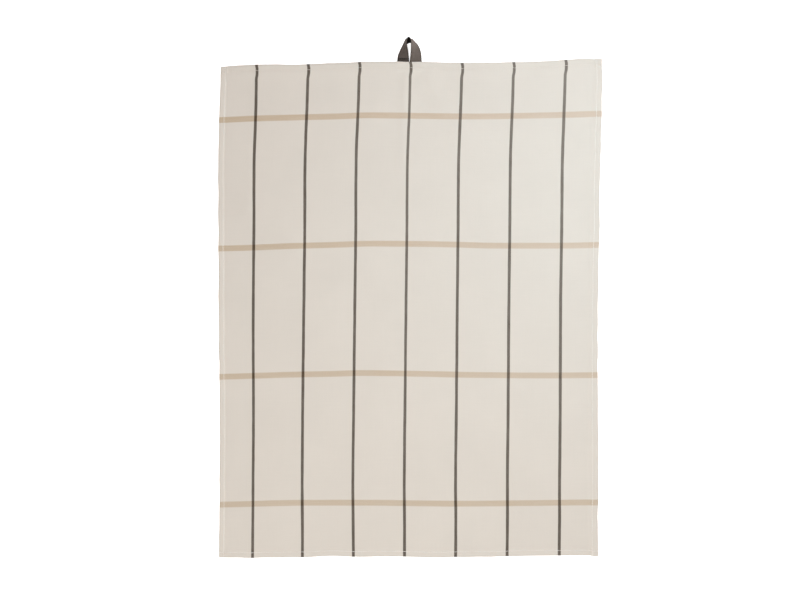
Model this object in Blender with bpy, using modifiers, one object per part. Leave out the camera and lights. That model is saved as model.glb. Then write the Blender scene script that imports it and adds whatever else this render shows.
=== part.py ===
"""A woven cotton tea towel, laid out flat, with a short tape loop sewn into its top hem.

Lengths below are in millimetres and are turned into metres when the vertices are placed.
The towel lies in the XY plane with its back on z = 0: +Y points to the edge with the loop,
+X to the right, and +Z up from the face of the cloth.  The origin is the middle of the back.
"""
import math

import bmesh
import bpy

MM = 0.001

# ---------------------------------------------------------------- driving sizes
WIDTH = 500.0            # across, along the weft
LENGTH = 650.0           # along the warp
CLOTH = 1.0              # thickness of the single layer
SIDE_HEM = 9.0           # width of the two side hems
END_HEM = 10.0           # width of the hems at the top and the bottom
HEM_RISE = 1.2           # how much the turned layers add to the single one
CORNER_RISE = 0.8        # how much more is added where two hems cross
EDGE_ROUND = 0.8         # reach of the rounded edge of a hem
EDGE_DROP = 0.5          # how far the face drops at that edge
EDGE_LIFT = 0.4          # how far the back rises at that edge
HEM_STEP = 1.5           # width of the slope from the hem down to the single layer

LOOP_AT = (3.6, 327.0)   # middle of the loop's two feet, on the top edge
FEET = 16.2              # from there to the outer side of each foot
TAPE = 1.0               # thickness of the loop's tape
SEAT = 7.0               # length of tape that lies inside the hem
SEAT_HEIGHT = 1.6        # height of the tape's middle inside the hem
GAP = 0.3                # clear space between the tape and the cloth around it
BULGE = 1.0              # rise of the hem over the tape's ends
BULGE_EDGE = 5.0         # width over which that rise fades out sideways
BULGE_FADE = 9.0         # and down the towel, from the hem into the single layer

ACROSS = 7               # faces across the tape
ALONG = 72               # faces along the tape


# ---------------------------------------------------------------- short tables
class Table:
    """Rows of sizes under named columns, read smoothly between the rows by the first column."""

    def __init__(self, columns, *rows):
        self.columns = columns.split()
        self.rows = sorted(rows)
        self.keys = [row[0] for row in self.rows]

    def at(self, column, key):
        col = self.columns.index(column)
        keys, last = self.keys, len(self.keys) - 1
        key = min(max(key, keys[0]), keys[-1])
        i = max(k for k in range(last) if keys[k] <= key)
        span = keys[i + 1] - keys[i]
        t = (key - keys[i]) / span

        def slope(k):
            low, high = max(k - 1, 0), min(k + 1, last)
            return (self.rows[high][col] - self.rows[low][col]) / (keys[high] - keys[low])

        a, b = self.rows[i][col], self.rows[i + 1][col]
        return (a * (1 + 2 * t) * (1 - t) ** 2 + b * t * t * (3 - 2 * t)
                + span * slope(i) * t * (1 - t) ** 2 - span * slope(i + 1) * t * t * (1 - t))


# How far the warp has slid sideways, at six places across, for heights up the towel.
# The cloth is skewed: its lower half leans to the left, and the right edge bows out.
SIDE_PLACES = (("left_edge", -250.0), ("first_stripe", -202.5), ("middle_left", -135.0),
               ("sixth_stripe", 135.0), ("last_stripe", 202.5), ("right_edge", 250.0))
SLIDE = Table("height left_edge first_stripe middle_left sixth_stripe last_stripe right_edge",
              (325.0, 4.9, 5.4, 5.5, 6.4, 7.5, 8.0),
              (270.0, 2.9, 3.5, 3.6, 4.4, 5.5, 7.7),
              (200.0, 1.2, 1.4, 1.1, 1.9, 3.0, 5.7),
              (100.0, 1.8, 0.8, 0.3, 0.9, 1.9, 4.3),
              (0.0, 1.9, -0.1, -0.9, -0.2, 0.6, 2.2),
              (-130.0, 3.2, 0.2, -2.3, -1.1, 0.1, 2.4),
              (-225.0, 3.0, -0.2, -3.1, -2.2, -0.8, 2.7),
              (-325.0, 2.1, -0.9, -2.8, -2.7, -1.2, 2.6))

# How far the weft has crept up or down, on the two ends and the four bands, for places across.
# The top edge climbs from a dropped left corner to a lifted right one.
END_PLACES = (("bottom_edge", -325.0), ("fourth_band", -255.0), ("third_band", -85.0),
              ("second_band", 85.0), ("first_band", 255.0), ("top_edge", 325.0))
CREEP = Table("across top_edge first_band second_band third_band fourth_band bottom_edge",
              (-250.0, -4.8, -4.8, -4.1, -3.4, -1.9, -1.5),
              (-212.0, -1.5, -2.9, -3.2, -2.3, -1.1, -2.4),
              (-150.0, -1.3, -1.1, -0.7, -0.5, 0.4, -1.3),
              (-60.0, 2.1, 1.6, 2.2, 1.6, 0.6, -0.7),
              (0.0, 2.1, 1.0, 2.3, 1.1, 0.2, -0.6),
              (60.0, 1.1, 0.2, 1.2, -0.3, -0.7, -1.3),
              (110.0, 1.2, 0.3, -0.2, -1.1, -0.4, -0.8),
              (165.0, 2.6, 1.4, -0.3, -1.5, 0.2, 0.6),
              (210.0, 5.5, 2.4, -0.2, -1.5, 0.7, 0.8),
              (250.0, 6.3, 3.6, 0.7, -1.0, 1.1, 0.2))

# The soft ridges where the cloth stands off the surface: the line of the crest from one end to
# the other, how far each side slopes down, and the height at both ends.
RIDGES = (
    # name, from across, from height, to across, to height, reach, rise at start, rise at end
    ("left_foot", -6.0, 305.0, -5.0, 85.0, 10.0, 1.5, 0.0),
    ("right_foot", 22.0, 304.0, 54.0, 258.0, 12.0, 1.3, 0.3),
    ("right_of_middle", 62.0, 246.0, 59.0, 136.0, 13.0, 0.8, 0.2),
    ("slanting_crease", 74.0, 36.0, 140.0, 10.0, 8.0, 0.4, 0.7),
    ("top_left", -196.0, 324.0, -199.0, 268.0, 12.0, 1.1, 0.3),
    ("left_side", -209.0, 190.0, -212.0, 138.0, 11.0, 0.3, 0.7),
    ("top_right", 221.0, 326.0, 224.0, 290.0, 11.0, 0.9, 0.3),
)

# The loop's tape, foot to foot, as the way round it (a share of the tape) against the place of
# its low edge and of its high edge.  Both feet lie flat in the hem; between them the tape twists
# onto its low edge and bends round with its high edge thrown outwards.
TAPE_PATH = Table("way low_x low_y low_z high_x high_y high_z",
                  (0.00, -FEET, -SEAT, SEAT_HEIGHT, -0.4, -SEAT, SEAT_HEIGHT),
                  (0.09, -FEET, 0.3, 1.5, -0.3, 0.3, 1.7),
                  (0.19, -15.1, 8.4, 0.8, -1.1, 8.0, 6.3),
                  (0.28, -12.1, 15.6, 0.8, -2.2, 15.2, 10.2),
                  (0.35, -9.2, 21.4, 0.8, -3.3, 20.6, 11.8),
                  (0.41, -6.6, 25.9, 0.8, -3.7, 24.8, 12.3),
                  (0.45, -4.6, 28.2, 0.8, -3.3, 28.0, 12.5),
                  (0.50, -0.6, 27.0, 0.8, -0.5, 30.9, 12.6),
                  (0.55, 3.6, 28.3, 0.8, 2.3, 27.8, 12.4),
                  (0.59, 6.6, 26.9, 0.8, 2.4, 25.0, 12.2),
                  (0.64, 10.5, 22.8, 0.8, 2.2, 21.2, 11.6),
                  (0.72, 13.2, 17.6, 0.8, 2.0, 14.2, 10.2),
                  (0.82, 15.5, 8.6, 0.8, 1.2, 7.0, 6.3),
                  (0.91, FEET, 0.3, 1.5, 0.3, 0.3, 1.7),
                  (1.00, FEET, -SEAT, SEAT_HEIGHT, 0.4, -SEAT, SEAT_HEIGHT))

# Where the cloth's mesh is divided: close by the hems and the ridges, wide elsewhere.
ACROSS_SPANS = ((-250.0, -249.2, 1), (-249.2, -241.0, 1), (-241.0, -239.5, 1), (-239.5, -185.0, 8),
                (-185.0, -24.0, 7), (-24.0, 28.0, 11), (28.0, 80.0, 7), (80.0, 209.0, 6),
                (209.0, 239.5, 4), (239.5, 241.0, 1), (241.0, 249.2, 1), (249.2, 250.0, 1))
ALONG_SPANS = ((-325.0, -324.2, 1), (-324.2, -315.0, 1), (-315.0, -313.5, 1), (-313.5, 0.0, 11),
               (0.0, 46.0, 6), (46.0, 256.0, 9), (256.0, 300.0, 4), (300.0, 313.5, 3), (313.5, 315.0, 1),
               (315.0, 317.0, 1), (317.0, 324.2, 1), (324.2, 325.0, 1))


# ---------------------------------------------------------------- how the cloth lies
def soft_step(value):
    """0 at 0 or less, 1 at 1 or more, and a soft slope between them."""
    value = min(max(value, 0.0), 1.0)
    return value * value * (3.0 - 2.0 * value)


def between(places, table, key, place):
    """Reads a table along the key and mixes its two columns on either side of the place."""
    for (name_a, a), (name_b, b) in zip(places, places[1:]):
        if place <= b or (name_b, b) == places[-1]:
            mix = min(max((place - a) / (b - a), 0.0), 1.0)
            return (1.0 - mix) * table.at(name_a, key) + mix * table.at(name_b, key)


def lie(across, height):
    """Where a point of the square-cut cloth lies on the surface."""
    return (across + between(SIDE_PLACES, SLIDE, height, across),
            height + between(END_PLACES, CREEP, across, height))


def ridge_rise(across, height):
    """How far the cloth stands off the surface there."""
    rise = 0.0
    for _name, x0, y0, x1, y1, reach, rise0, rise1 in RIDGES:
        dx, dy = x1 - x0, y1 - y0
        along = ((across - x0) * dx + (height - y0) * dy) / (dx * dx + dy * dy)
        near = min(max(along, 0.0), 1.0)
        off = math.hypot(across - x0 - near * dx, height - y0 - near * dy) / reach
        if off < 1.0:
            rise += (rise0 + (rise1 - rise0) * near) * (1.0 - off * off) ** 2
    return rise


def layers(across, height):
    """Thickness of the cloth there, with its hems, crossed corners and the tape's ends inside."""
    side = soft_step((abs(across) - (WIDTH / 2 - SIDE_HEM)) / HEM_STEP + 1.0)
    end = soft_step((abs(height) - (LENGTH / 2 - END_HEM)) / HEM_STEP + 1.0)
    x, y = lie(across, height)
    sideways = (abs(x - LOOP_AT[0]) - FEET - 0.4) / BULGE_EDGE
    downwards = (LOOP_AT[1] - SEAT - 1.5 - y) / BULGE_FADE
    over_tape = soft_step(1.0 - sideways) * soft_step(1.0 - downwards)
    return (CLOTH + HEM_RISE * max(side, end) + CORNER_RISE * side * end + BULGE * over_tape)


def edge_round(across, height):
    """1 on the very edge of the towel, 0 where its rounding ends."""
    inside = min(WIDTH / 2 - abs(across), LENGTH / 2 - abs(height))
    return 1.0 - min(max(inside / EDGE_ROUND, 0.0), 1.0)


def divisions(spans):
    """The lines that the spans call for, from one edge to the other."""
    lines = [spans[0][0]]
    for start, end, count in spans:
        lines += [start + (end - start) * (k + 1) / count for k in range(count)]
    return lines


# ---------------------------------------------------------------- scene and materials
for old in list(bpy.data.objects):
    bpy.data.objects.remove(old, do_unlink=True)

towel = bpy.data.collections.new("tea_towel")
cutters = bpy.data.collections.new("tea_towel_cutters")
bpy.context.scene.collection.children.link(towel)
bpy.context.scene.collection.children.link(cutters)


def fabric(name, colour, roughness):
    material = bpy.data.materials.new(name)
    material.use_nodes = True
    shader = material.node_tree.nodes["Principled BSDF"]
    shader.inputs["Base Color"].default_value = (*colour, 1.0)
    shader.inputs["Roughness"].default_value = roughness
    shader.inputs["Metallic"].default_value = 0.0
    return material


cotton = fabric("undyed_cotton", (0.72, 0.67, 0.61), 0.9)
tape_weave = fabric("grey_brown_tape", (0.19, 0.16, 0.145), 0.85)


def add_object(name, bm, material, collection):
    mesh = bpy.data.meshes.new(name)
    bm.to_mesh(mesh)
    bm.free()
    if material:
        mesh.materials.append(material)
    obj = bpy.data.objects.new(name, mesh)
    collection.objects.link(obj)
    return obj


# ---------------------------------------------------------------- the cloth
columns, rows = divisions(ACROSS_SPANS), divisions(ALONG_SPANS)
bm = bmesh.new()
bmesh.ops.create_grid(bm, x_segments=len(columns) - 1, y_segments=len(rows) - 1, size=0.5)
across_layer = bm.verts.layers.float.new("across")
height_layer = bm.verts.layers.float.new("height")
for vert in bm.verts:
    vert[across_layer] = columns[round((vert.co.x + 0.5) * (len(columns) - 1))]
    vert[height_layer] = rows[round((vert.co.y + 0.5) * (len(rows) - 1))]

# the face of the cloth is extruded from its back
back = list(bm.verts)
extruded = bmesh.ops.extrude_face_region(bm, geom=list(bm.faces))
face = [item for item in extruded["geom"] if isinstance(item, bmesh.types.BMVert)]
for verts, is_face in ((back, False), (face, True)):
    for vert in verts:
        across, height = vert[across_layer], vert[height_layer]
        rounding = edge_round(across, height)
        z = ridge_rise(across, height)
        if is_face:
            z += layers(across, height) - EDGE_DROP * rounding
        else:
            z += EDGE_LIFT * rounding
        x, y = lie(across, height)
        vert.co = (x * MM, y * MM, z * MM)
bmesh.ops.recalc_face_normals(bm, faces=bm.faces)
cloth = add_object("towel_cloth", bm, cotton, towel)
cloth.data.shade_smooth()
cloth.data.set_sharp_from_angle(angle=math.radians(40.0))

# the pocket between the hem's layers that the two ends of the tape lie in
pocket_size = (2 * (FEET + GAP), SEAT + GAP + 4.0, TAPE + 2 * GAP)
bm = bmesh.new()
bmesh.ops.create_cube(bm, size=1.0)
bmesh.ops.scale(bm, verts=bm.verts, vec=[size * MM for size in pocket_size])
pocket = add_object("loop_pocket", bm, None, cutters)
pocket.location = (LOOP_AT[0] * MM, (LOOP_AT[1] - SEAT - GAP + pocket_size[1] / 2) * MM,
                   SEAT_HEIGHT * MM)
pocket.hide_render = True
pocket.display_type = "WIRE"

cut = cloth.modifiers.new("pocket", "BOOLEAN")
cut.operation = "DIFFERENCE"
cut.solver = "EXACT"
cut.object = pocket

# ---------------------------------------------------------------- the loop
bm = bmesh.new()
bmesh.ops.create_grid(bm, x_segments=ALONG, y_segments=ACROSS, size=0.5)
for vert in bm.verts:
    way, share = vert.co.x + 0.5, vert.co.y + 0.5
    low = [TAPE_PATH.at(name, way) for name in ("low_x", "low_y", "low_z")]
    high = [TAPE_PATH.at(name, way) for name in ("high_x", "high_y", "high_z")]
    x, y, z = [a + (b - a) * share for a, b in zip(low, high)]
    vert.co = (x * MM, y * MM, z * MM)
loop = add_object("hanging_loop", bm, tape_weave, towel)
loop.location = (LOOP_AT[0] * MM, LOOP_AT[1] * MM, 0.0)
body = loop.modifiers.new("thickness", "SOLIDIFY")
body.thickness = TAPE * MM
body.offset = 0.0
body.use_even_offset = True
loop.data.shade_smooth()
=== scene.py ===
# %% [markdown]
# # A woven tea towel with a hanging loop
# The real object is a rectangle of cotton, 500 by 650 mm, woven with thin dark warp stripes and
# broad beige weft bands.  Its four edges are turned over twice and sewn, and a short tape loop is
# caught in the top hem.  It lies flat on a pale table and is seen from straight above.
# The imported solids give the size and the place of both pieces, so they are loaded first.

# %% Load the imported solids
import math

import bmesh
import bpy
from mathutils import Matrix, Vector, noise


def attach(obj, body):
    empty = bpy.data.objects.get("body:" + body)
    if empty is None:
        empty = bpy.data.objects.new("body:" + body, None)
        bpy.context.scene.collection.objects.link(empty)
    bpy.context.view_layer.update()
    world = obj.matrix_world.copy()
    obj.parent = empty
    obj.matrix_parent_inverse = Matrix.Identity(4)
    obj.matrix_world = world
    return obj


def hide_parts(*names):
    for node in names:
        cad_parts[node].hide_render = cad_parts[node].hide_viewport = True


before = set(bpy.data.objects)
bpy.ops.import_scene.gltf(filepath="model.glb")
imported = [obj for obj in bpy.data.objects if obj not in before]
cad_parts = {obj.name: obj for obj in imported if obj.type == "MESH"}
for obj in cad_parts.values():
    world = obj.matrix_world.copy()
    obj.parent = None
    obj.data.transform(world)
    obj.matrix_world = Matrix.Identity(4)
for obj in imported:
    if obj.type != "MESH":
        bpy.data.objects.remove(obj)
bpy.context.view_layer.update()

# %% [markdown]
# ## The camera
# The picture is taken face on, so the camera looks straight down.  One pixel of an 800-pixel-wide
# picture covers 1.319 mm of the cloth.  A camera could also be orthographic, but a real one isn't:
# the long lens keeps the loop, which stands nearly 13 mm tall, from leaning far outwards.  The
# height of the camera follows from the lens, the film width and the scale.

# %% Camera
MM = 0.001
PIXEL = 1.3193 * MM              # cloth covered by one pixel
PICTURE_WIDTH = 800              # pixels
PICTURE_MIDDLE = (-8.85 * MM, 13.0 * MM)    # the point of the table below the middle of the picture
LENS, FILM = 85.0, 36.0
CLOTH_FACE = 1.0 * MM            # height of the face that the scale is taken on

camera = bpy.data.objects.new("camera_overhead", bpy.data.cameras.new("camera_overhead"))
bpy.context.scene.collection.objects.link(camera)
camera.data.lens, camera.data.sensor_width = LENS, FILM
camera.location = (*PICTURE_MIDDLE, PICTURE_WIDTH * PIXEL * LENS / FILM + CLOTH_FACE)
bpy.context.scene.camera = camera
print("camera height %.3f m" % camera.location.z)

# %% [markdown]
# ## Reading a short table smoothly
# Cloth that has been washed and laid out by hand is never square: its edges wave by a few
# millimetres.  Such a slow drift could be drawn as a curve object, or painted as weights.  A short
# table of sizes with a smooth reading between its rows is easier to change and to measure, so that
# is what follows.  The same kind of table serves the tape of the loop.

# %% Table helper
class Table:
    """Rows of sizes under named columns, read smoothly between the rows by the first column."""

    def __init__(self, columns, *rows):
        self.columns = columns.split()
        self.rows = sorted(rows)
        self.keys = [row[0] for row in self.rows]

    def at(self, column, key):
        col = self.columns.index(column)
        keys, last = self.keys, len(self.keys) - 1
        key = min(max(key, keys[0]), keys[-1])
        i = max(k for k in range(last) if keys[k] <= key)
        span = keys[i + 1] - keys[i]
        t = (key - keys[i]) / span

        def slope(k):
            low, high = max(k - 1, 0), min(k + 1, last)
            return (self.rows[high][col] - self.rows[low][col]) / (keys[high] - keys[low])

        a, b = self.rows[i][col], self.rows[i + 1][col]
        return (a * (1 + 2 * t) * (1 - t) ** 2 + b * t * t * (3 - 2 * t)
                + span * slope(i) * t * (1 - t) ** 2 - span * slope(i + 1) * t * t * (1 - t))


def soft_step(value):
    """0 at 0 or less, 1 at 1 or more, and a soft slope between them."""
    value = min(max(value, 0.0), 1.0)
    return value * value * (3.0 - 2.0 * value)


print("soft_step(0.25) =", soft_step(0.25))

# %% [markdown]
# ## Where the cloth lies
# Lengths here are millimetres on the finished towel: `across` from the middle towards the right,
# `height` from the middle towards the loop.  SLIDE says how far the warp has slid sideways and
# CREEP how far the weft has crept up or down.  The towel leans to the left in its lower half, and
# its top edge climbs from a dropped left corner to a lifted right one.

# %% Sizes and drift of the cloth
WIDTH, LENGTH = 500.0, 650.0
STRIPE_PITCH, BAND_PITCH = 67.5, 170.0
UNEVEN, UNEVEN_SIZE = 0.7, 24.0      # small ins and outs of the edges, and their length
UNEVEN_REACH = 30.0                  # they are gone this far inside an edge
UNEVEN_LAYER = 2.2                   # where in the noise they are read, and each edge's own row there
NOISE_ROW = {"left": 1.5, "right": 4.5, "bottom": 7.5, "top": 10.5}

SIDE_PLACES = (("left_edge", -250.0), ("stripe_1", -202.5), ("stripe_2", -135.0), ("stripe_3", -67.5),
               ("stripe_4", 0.0), ("stripe_5", 67.5), ("stripe_6", 135.0), ("stripe_7", 202.5),
               ("right_edge", 250.0))
SLIDE = Table("height left_edge stripe_1 stripe_2 stripe_3 stripe_4 stripe_5 stripe_6 stripe_7 right_edge",
              (325.0, 4.9, 4.4, 5.0, 5.2, 5.0, 5.6, 6.2, 7.3, 8.0),
              (270.0, 2.9, 3.6, 3.5, 3.6, 3.7, 3.9, 4.5, 5.5, 7.7),
              (200.0, 1.2, 1.3, 1.0, 0.9, 1.1, 1.1, 1.9, 3.0, 5.7),
              (100.0, 1.8, 0.8, 0.4, 0.2, 0.2, 0.2, 0.9, 1.8, 4.3),
              (0.0, 1.9, -0.1, -0.8, -1.0, -1.0, -0.9, -0.3, 0.5, 2.2),
              (-130.0, 3.2, 0.3, -2.3, -2.5, -2.3, -2.0, -1.2, 0.0, 2.4),
              (-225.0, 3.0, -0.2, -2.9, -3.6, -3.2, -3.1, -2.2, -0.9, 2.7),
              (-280.0, 2.8, -0.6, -2.7, -3.2, -2.9, -2.8, -2.1, -1.0, 2.2),
              (-325.0, 2.1, -0.9, -2.6, -2.8, -2.9, -3.0, -2.7, -1.4, 2.6))

END_PLACES = (("bottom_edge", -325.0), ("fourth_band", -255.0), ("third_band", -85.0),
              ("second_band", 85.0), ("first_band", 255.0), ("top_edge", 325.0))
CREEP = Table("across top_edge first_band second_band third_band fourth_band bottom_edge",
              (-250.0, -4.8, -4.8, -4.1, -3.4, -1.9, -1.5),
              (-227.0, -2.2, -3.7, -3.6, -2.8, -1.5, -2.0),
              (-212.0, -1.5, -2.9, -3.2, -2.3, -1.1, -2.4),
              (-150.0, -1.3, -1.1, -0.7, -0.5, 0.4, -1.3),
              (-95.0, 0.7, 0.2, 0.8, 0.6, 0.6, 0.0),
              (-60.0, 2.1, 1.6, 2.2, 1.6, 0.6, -0.7),
              (-20.0, 2.5, 1.3, 2.3, 1.3, 0.3, -0.1),
              (30.0, 2.0, 0.6, 1.8, 0.4, -0.3, -1.6),
              (60.0, 1.1, 0.2, 1.2, -0.3, -0.7, -1.3),
              (110.0, 1.2, 0.3, -0.2, -1.1, -0.4, -0.8),
              (165.0, 2.6, 1.4, -0.3, -1.5, 0.2, 0.6),
              (210.0, 5.5, 2.4, -0.2, -1.5, 0.7, 0.8),
              (238.0, 6.2, 3.3, 0.4, -1.2, 1.0, 1.2),
              (244.0, 6.4, 3.4, 0.5, -1.1, 1.0, 0.1),
              (250.0, 6.3, 3.6, 0.7, -1.0, 1.1, 0.2))


def between(places, table, key, place):
    """Reads a table along the key and mixes its two columns on either side of the place."""
    for (name_a, a), (name_b, b) in zip(places, places[1:]):
        if place <= b or (name_b, b) == places[-1]:
            mix = min(max((place - a) / (b - a), 0.0), 1.0)
            return (1.0 - mix) * table.at(name_a, key) + mix * table.at(name_b, key)


def uneven(along, inset, side):
    """Small ins and outs of one edge, at a place along it and a distance inside it."""
    swing = noise.noise(Vector((along / UNEVEN_SIZE, NOISE_ROW[side], UNEVEN_LAYER)))
    return UNEVEN * swing * (1.0 - soft_step(inset / UNEVEN_REACH))


def lie(across, height):
    """Where a point of the square-cut cloth lies on the table."""
    x = across + between(SIDE_PLACES, SLIDE, height, across)
    y = height + between(END_PLACES, CREEP, across, height)
    x += uneven(height, across + WIDTH / 2, "left") + uneven(height, WIDTH / 2 - across, "right")
    y += uneven(across, height + LENGTH / 2, "bottom") + uneven(across, LENGTH / 2 - height, "top")
    return x, y


print("top left corner lies at %.1f, %.1f mm" % lie(-250.0, 325.0))

# %% [markdown]
# ## How far the cloth stands off the table
# Three things give this flat cloth its relief: a few soft ridges where it doesn't lie down, mostly
# below the loop's feet; a slight waviness all over, from a smooth noise with fixed places; and
# small puckers along the sewing.  A cloth simulation would find its own folds and not these, so
# the ridges are listed, each with its own line, reach and height.

# %% Ridges, waviness and puckers
RIDGES = (
    # name, from across, from height, to across, to height, reach, rise at start, rise at end
    ("left_foot", -6.0, 305.0, -5.0, 85.0, 10.0, 1.5, 0.0),
    ("right_foot", 22.0, 304.0, 54.0, 258.0, 12.0, 1.3, 0.3),
    ("right_of_middle", 62.0, 246.0, 59.0, 136.0, 13.0, 0.8, 0.2),
    ("slanting_crease", 74.0, 36.0, 140.0, 10.0, 8.0, 0.4, 0.7),
    ("top_left", -196.0, 324.0, -199.0, 268.0, 12.0, 1.1, 0.3),
    ("left_side", -209.0, 190.0, -212.0, 138.0, 11.0, 0.3, 0.7),
    ("top_right", 221.0, 326.0, 224.0, 290.0, 11.0, 0.9, 0.3),
    ("hem_left_of_loop", -16.0, 326.0, -62.0, 326.0, 14.0, 0.9, 0.4),
)
WAVE_SIZE, WAVE_RISE = 45.0, 0.16
PUCKER_SIZE, PUCKER_RISE = 7.0, 0.22
PUCKER_FROM, PUCKER_FADE = 6.0, 10.0     # the puckers weaken from here on, over this distance
WAVE_LAYER, PUCKER_LAYER = 3.7, 9.1      # each reads a layer of the noise of its own


def ridge_rise(across, height):
    """How far the ridges lift the cloth: each is highest on its line and ends softly at its reach."""
    rise = 0.0
    for _name, x0, y0, x1, y1, reach, rise0, rise1 in RIDGES:
        dx, dy = x1 - x0, y1 - y0
        along = ((across - x0) * dx + (height - y0) * dy) / (dx * dx + dy * dy)
        near = min(max(along, 0.0), 1.0)
        off = math.hypot(across - x0 - near * dx, height - y0 - near * dy) / reach
        if off < 1.0:
            rise += (rise0 + (rise1 - rise0) * near) * (1.0 - off * off) ** 2
    return rise


def wave(across, height):
    """Slow waviness all over the cloth."""
    return WAVE_RISE * (0.5 + noise.noise(Vector((across / WAVE_SIZE, height / WAVE_SIZE, WAVE_LAYER))))


def pucker(across, height, inset):
    """Short ripples beside the sewing, which fade inside the edge."""
    fade = 1.0 - soft_step((inset - PUCKER_FROM) / PUCKER_FADE)
    if fade <= 0.0:
        return 0.0
    spot = Vector((across / PUCKER_SIZE, height / PUCKER_SIZE, PUCKER_LAYER))
    return PUCKER_RISE * fade * noise.noise(spot)


print("ridges placed by hand:", len(RIDGES))

# %% [markdown]
# ## The turned hems
# On the real towel each edge is folded to the back twice, so three layers lie over each other and
# end in a round fold.  Modelling the folded sheet layer by layer would triple the mesh for what
# shows as a raised border, a round edge and a step on the back, so the hem is one thickness that
# swells, is pressed thin along the seam and falls to the panel beyond it.  HEMS gives these sizes
# for each side, in millimetres: where the seam lies, where the fall to the panel starts and ends, how
# far the outer edge is lifted and how deep the seam is pressed.  The tape of the loop needs a real
# pocket in the top hem, so the hem swells there, and the left foot's seam pulls a dent into it.

# %% Hem sizes and the two faces of the cloth
CLOTH = 0.8                  # one layer
LIFT = 0.15                  # the back lies this much off the table
HEM_TOP = 2.2                # height of the hem's upper face at its outer edge
HEM_BACK = 9.2               # the turned layers end this far in
HEM_BACK_STEP = 0.4          # and do so over this distance
HEMS = {
    # side: seam, start of the fall, end of the fall, lift of the edge, press of the seam
    "left": (6.4, 5.0, 8.8, 0.0, 0.30),
    "right": (6.9, 7.4, 13.5, 0.35, 0.30),
    "top": (7.6, 7.0, 26.0, 0.0, 0.12),
    "bottom": (6.8, 4.2, 9.6, 0.2, 0.08),
}
PRESS_REACH = 2.4            # how far the thread's pull is felt
CORNER_RISE = {"top_left": 0.4, "top_right": 0.9, "bottom_left": 0.4, "bottom_right": 0.7}
BLOCK_END, BLOCK_SIDE, BLOCK_STEP = 9.0, 8.4, 1.5    # a crossed corner's sizes, and its soft border
LOOP_AT = (3.6, 327.0)       # middle of the loop's feet, on the top edge
foot_middle = LOOP_AT[0] - between(SIDE_PLACES, SLIDE, LENGTH / 2, 0.0)
BULGE = 1.0                  # rise over the tape's ends
BULGE_LEFT, BULGE_RIGHT, BULGE_DOWN = 2.5, 5.0, 8.0  # how far that rise takes to fall off
BULGE_PAST = 1.0             # it reaches this far past the pocket
FOOT_PULL, FOOT_PULL_REACH = 0.35, 1.5               # the seam's dent below the left foot
EDGE_FLAT, EDGE_FLAT_AT_TAPE = 0.32, 0.43            # half height of the very edge, and more at the tape
POCKET_HALF, POCKET_DEEP = 16.6, 7.4                 # half width and depth of the tape's pocket
POCKET_LOW, POCKET_HIGH = 0.85, 2.35                 # heights of its floor and its roof


def insets(across, height):
    """Distance in from the four edges."""
    return {"left": across + WIDTH / 2, "right": WIDTH / 2 - across,
            "bottom": height + LENGTH / 2, "top": LENGTH / 2 - height}


def over_tape(across, height):
    """1 over the tape's ends, 0 away from them."""
    if height < LENGTH / 2 - 35.0 or abs(across) > 60.0:
        return 0.0           # far enough off to skip the sums
    x, y = lie(across, height)
    sideways = (abs(x - LOOP_AT[0]) - POCKET_HALF) / (BULGE_LEFT if x < LOOP_AT[0] else BULGE_RIGHT)
    downwards = (LOOP_AT[1] - POCKET_DEEP - BULGE_PAST - y) / BULGE_DOWN
    return soft_step(1.0 - sideways) * soft_step(1.0 - downwards)


def faces_at(across, height):
    """Heights of the face and the back of the cloth at one place."""
    inset = insets(across, height)
    near = min(inset.values())
    raised = pressed = lifted = 0.0
    for side, (seam, start, end, lift, press) in HEMS.items():
        raised = max(raised, 1.0 - soft_step((inset[side] - start) / (end - start)))
        pressed = max(pressed, press * math.exp(-((inset[side] - seam) / PRESS_REACH) ** 2))
        lifted = max(lifted, lift * (1.0 - inset[side] / seam))
    crossed = 0.0
    for end in ("top", "bottom"):
        for side in ("left", "right"):
            square = ((1.0 - soft_step((inset[end] - BLOCK_END) / BLOCK_STEP))
                      * (1.0 - soft_step((inset[side] - BLOCK_SIDE) / BLOCK_STEP)))
            crossed += CORNER_RISE[end + "_" + side] * square
    tape = over_tape(across, height)
    if foot_middle - POCKET_HALF < across < foot_middle:
        pressed += FOOT_PULL * math.exp(-((inset["top"] - HEMS["top"][0]) / FOOT_PULL_REACH) ** 2)
    rise = ridge_rise(across, height)
    panel = LIFT + CLOTH + rise + wave(across, height)
    face = panel + (HEM_TOP - LIFT - CLOTH) * raised + crossed + BULGE * tape
    face += pucker(across, height, near) + lifted - pressed
    turned = 1.0 - soft_step((near - HEM_BACK) / HEM_BACK_STEP)
    back = turned * (LIFT * 0.5 + rise) + (1.0 - turned) * (face - CLOTH)
    # the round fold on the very edge
    half = (face - back) / 2
    if near < half:
        flat = EDGE_FLAT + EDGE_FLAT_AT_TAPE * tape
        share = flat / half + (1.0 - flat / half) * math.sqrt(max(0.0, 1.0 - (1.0 - near / half) ** 2))
        middle = (face + back) / 2
        face, back = middle + half * share, middle - half * share
    return face, back


print("face and back in the middle: %.2f, %.2f mm" % faces_at(0.0, 0.0))

# %% [markdown]
# ## The cloth itself
# A grid is the natural start for a woven sheet.  Its lines stand close together near the edges,
# where the hems are, and 3.5 mm apart inside.  The grid becomes the back of the cloth, and
# extruding it gives the face, so the piece is one closed body.  Two sets of UVs go with it: the
# place on the square-cut cloth, which the woven pattern is drawn on and which therefore bends with
# the towel, and a flat layout without overlaps.

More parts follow.
